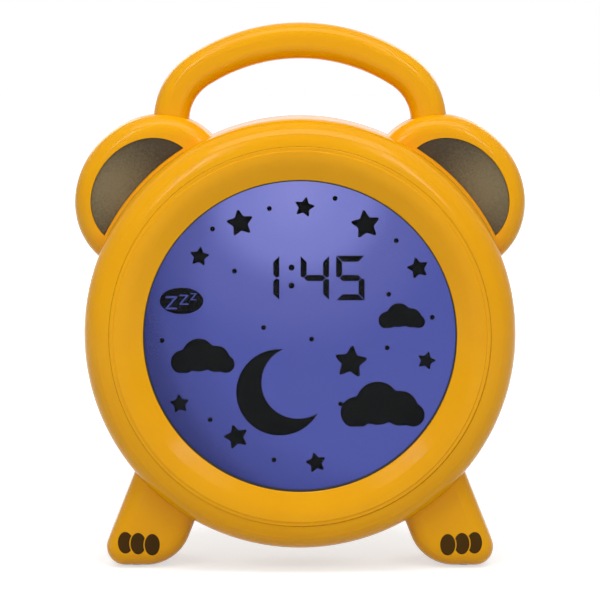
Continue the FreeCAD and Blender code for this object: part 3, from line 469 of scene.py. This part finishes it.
def make_materials():
    return {
        "yellow_plastic": moulded("yellow_plastic", YELLOW, YELLOW_DEEP, 0.15, 700.0, 0.000006, 0.14, 0.05),
        "brown_plastic": grained_pad("brown_plastic", BROWN_HIGHLIGHT, BROWN_DEEP),
        "toe_plastic": moulded("toe_plastic", TOE, (60, 38, 4), 0.5, 1200.0, 0.00003, 0.1),
        "grip_rubber": moulded("grip_rubber", (52, 50, 48), (42, 41, 40), 0.75, 2200.0, 0.00005, 0.3),
        "clear_window": clear_sheet("clear_window", (0.97, 0.97, 0.98), 0.05, 0.08),
        "display_glass": clear_sheet("display_glass", (0.98, 0.98, 0.98), 0.12, 0.02),
        "lit_display": lit_display("lit_display"),
        "display_ink": moulded("display_ink", INK, (9, 11, 10), 0.6, 1500.0, 0, 0.05),
        "diffuser_film": moulded("diffuser_film", (226, 228, 250), (216, 218, 244), 0.6, 900.0, 0.00002),
        "white_plastic": moulded("white_plastic", (236, 236, 232), (228, 228, 222), 0.45, 900.0, 0.00002),
        "circuit_board": moulded("circuit_board", (24, 92, 54), (16, 76, 44), 0.38, 700.0, 0.00003),
        "led_package": moulded("led_package", (240, 238, 206), (232, 228, 190), 0.3, 900.0, 0.00002),
        "black_plastic": moulded("black_plastic", (34, 34, 35), (27, 27, 28), 0.45, 1400.0, 0.00003),
        "component_metal": metal("component_metal", (200, 200, 204), 0.35),
        "ribbon_film": moulded("ribbon_film", (196, 134, 52), (180, 118, 44), 0.3, 500.0, 0.00002),
        "plated_steel": metal("plated_steel", (190, 190, 186), 0.3),
        "speaker_paper": moulded("speaker_paper", (40, 39, 38), (30, 30, 29), 0.85, 1300.0, 0.00008, 0.2),
        "grille_cloth": woven("grille_cloth", (58, 56, 54), 2000),
        "ferrite": moulded("ferrite", (66, 66, 68), (54, 54, 56), 0.55, 900.0, 0.00005),
        "wire_sleeve": moulded("wire_sleeve", (182, 30, 26), (166, 24, 22), 0.4, 900.0, 0.00002),
        "key_plastic": moulded("key_plastic", (243, 238, 224), (236, 230, 214), 0.5, 1300.0, 0.00003),
        "nickel_plate": metal("nickel_plate", (206, 204, 196), 0.22),
        "battery_wrap": moulded("battery_wrap", (44, 110, 66), (36, 98, 58), 0.3, 500.0, 0.00001),
        "icon_grey": moulded("icon_grey", (92, 88, 82), (84, 80, 74), 0.5, 1400.0, 0.00002),
    }


def smooth_by_angle(mesh):
    mesh.polygons.foreach_set("use_smooth", [True] * len(mesh.polygons))
    mesh.set_sharp_from_angle(angle=math.radians(SMOOTH_ANGLE))


def dress_cad_nodes(materials):
    slots = {row["node"]: row["material_slot"] for row in frame["record"]["subparts"]}
    for name, node in frame["nodes"].items():
        mesh = node.data
        mesh.materials.clear()
        mesh.materials.append(materials["lit_display" if name == "lcd_rear_glass" else slots[name]])
        smooth_by_angle(mesh)


# Small pieces that the scene adds: raised marks on the keys, the grille's cloth, and a dark ring at the
# window's edge that paints the shadow of the bezel's lip
def flat_icon(name, outlines, place, body, material):
    """Raised mark on the rear: closed outlines in millimetres, seen from behind, about a point."""
    curve = bpy.data.curves.new(name, "CURVE")
    curve.dimensions = "2D"
    curve.fill_mode = "BOTH"
    curve.extrude = ICON_THICKNESS / 2
    for outline in outlines:
        spline = curve.splines.new("POLY")
        spline.points.add(len(outline) - 1)
        for point, (a, b) in zip(spline.points, outline):
            point.co = (a * MM, b * MM, 0, 1)
        spline.use_cyclic_u = True
    icon = bpy.data.objects.new(name, curve)
    bpy.context.collection.objects.link(icon)
    facing_rear = Matrix(((-1, 0, 0, 0), (0, 0, 1, 0), (0, 1, 0, 0), (0, 0, 0, 1)))
    icon.matrix_world = Matrix.Translation(place) @ facing_rear
    bpy.context.view_layer.update()
    mesh = bpy.data.meshes.new_from_object(icon.evaluated_get(bpy.context.evaluated_depsgraph_get()))
    solid = bpy.data.objects.new(name, mesh)
    solid.matrix_world = icon.matrix_world
    bpy.data.objects.remove(icon)
    bpy.context.collection.objects.link(solid)
    mesh.materials.append(material)
    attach(solid, body)


def ring_points(radius, start, end, count, centre=(0, 0)):
    points = []
    for i in range(count):
        turn = math.radians(start + (end - start) * i / (count - 1))
        points.append((centre[0] + radius * math.cos(turn), centre[1] + radius * math.sin(turn)))
    return points


def circle(radius, centre=(0, 0)):
    count = 28
    return ring_points(radius, 0, 360 * (count - 1) / count, count, centre)


def arc_stroke(radius, width, start, end):
    outer = ring_points(radius + width / 2, start, end, 14)
    inner = ring_points(radius - width / 2, end, start, 14)
    return outer + inner


def bar(width, height, centre=(0, 0)):
    x, z = centre
    w = width / 2
    h = height / 2
    return [(x - w, z - h), (x + w, z - h), (x + w, z + h), (x - w, z + h)]


def icon_shapes():
    """Plain marks for the six keys."""
    loud = [[(-2.2, -0.6), (-1.2, -0.6), (0.0, -1.7), (0.0, 1.7), (-1.2, 0.6), (-2.2, 0.6)]]
    loud += [arc_stroke(1.1, 0.35, -50, 50), arc_stroke(2.1, 0.35, -50, 50)]
    bell = ring_points(1.35, 0, 180, 14, (0, 0.35))
    bell += [(-1.5, -0.7), (-2.0, -1.15), (2.0, -1.15), (1.5, -0.7)]
    moon = ring_points(2.0, 70, 320, 24) + ring_points(1.62, 300, 88, 20, (0.72, 0.30))
    rays = []
    for i in range(8):
        turn = math.radians(45 * i)
        along = Vector((math.cos(turn), math.sin(turn)))
        across = Vector((-along.y, along.x)) * 0.17
        ends = [along * 1.6 - across, along * 2.3 - across, along * 2.3 + across, along * 1.6 + across]
        rays.append([tuple(p) for p in ends])
    return {
        "plus_key": [bar(3.6, 0.7), bar(0.7, 1.45, (0, 1.075)), bar(0.7, 1.45, (0, -1.075))],
        "minus_key": [bar(3.6, 0.7)],
        "volume_key": loud,
        "alarm_key": [bell, circle(0.5, (0, -1.75)), bar(0.45, 0.5, (0, 1.95))],
        "sleep_key": [moon],
        "light_key": [circle(1.1)] + rays,
    }


def make_icons(materials):
    for key, outlines in icon_shapes().items():
        low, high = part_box(key)
        middle = (low + high) / 2
        place = Vector((middle.x, high.y, middle.z))
        flat_icon(key + "_mark", outlines, place, key + "_body", materials["icon_grey"])


def make_speaker_cloth(materials):
    """Woven cloth between the grille holes and the cone, just behind the rear wall."""
    build = bmesh.new()
    rings = []
    for y in (0, -CLOTH_THICKNESS):
        ring = []
        for i in range(CLOTH_STEPS):
            turn = 2 * math.pi * i / CLOTH_STEPS
            edge = Vector((CLOTH_RADIUS * math.cos(turn), y, CLOTH_RADIUS * math.sin(turn)))
            ring.append(build.verts.new(CLOTH_MIDDLE + edge))
        build.faces.new(ring)
        rings.append(ring)
    for i in range(CLOTH_STEPS):
        ahead = (i + 1) % CLOTH_STEPS
        build.faces.new((rings[0][i], rings[0][ahead], rings[1][ahead], rings[1][i]))
    bmesh.ops.recalc_face_normals(build, faces=build.faces)
    mesh = bpy.data.meshes.new("speaker_cloth")
    build.to_mesh(mesh)
    build.free()
    cloth = bpy.data.objects.new("speaker_cloth", mesh)
    bpy.context.collection.objects.link(cloth)
    mesh.materials.append(materials["grille_cloth"])
    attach(cloth, "case")


def make_window_shade_ring(materials):
    """Thin dark ring, in the grip rubber, that lines the bezel's inner wall in front of the window: painted
    shade, standing in for the shadow of the bezel's lip on the display.
    """
    outer = SHADE_RING_OUTER_R
    inner = SHADE_RING_INNER_R
    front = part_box("bezel")[0].y + SHADE_RING_BEHIND_BEZEL
    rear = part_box("lens")[0].y - SHADE_RING_TO_WINDOW
    section = [(outer, front), (inner, front), (inner, rear), (outer, rear)]
    build = bmesh.new()
    loops = []
    for i in range(SHADE_RING_STEPS):
        turn = 2 * math.pi * i / SHADE_RING_STEPS
        points = [(r * math.cos(turn), y, LIFT + r * math.sin(turn)) for r, y in section]
        loops.append([build.verts.new(point) for point in points])
    for i in range(SHADE_RING_STEPS):
        here = loops[i]
        ahead = loops[(i + 1) % SHADE_RING_STEPS]
        for k in range(4):
            build.faces.new((here[k], here[(k + 1) % 4], ahead[(k + 1) % 4], ahead[k]))
    bmesh.ops.recalc_face_normals(build, faces=build.faces)
    mesh = bpy.data.meshes.new("window_shade_ring")
    build.to_mesh(mesh)
    build.free()
    smooth_by_angle(mesh)
    shade_ring = bpy.data.objects.new("window_shade_ring", mesh)
    bpy.context.collection.objects.link(shade_ring)
    mesh.materials.append(materials["grip_rubber"])
    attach(shade_ring, "case")


make_camera()
make_lights()
make_world()
make_floor()
bpy.context.scene.view_settings.view_transform = "Standard"
materials = make_materials()
dress_cad_nodes(materials)
make_icons(materials)
make_speaker_cloth(materials)
make_window_shade_ring(materials)
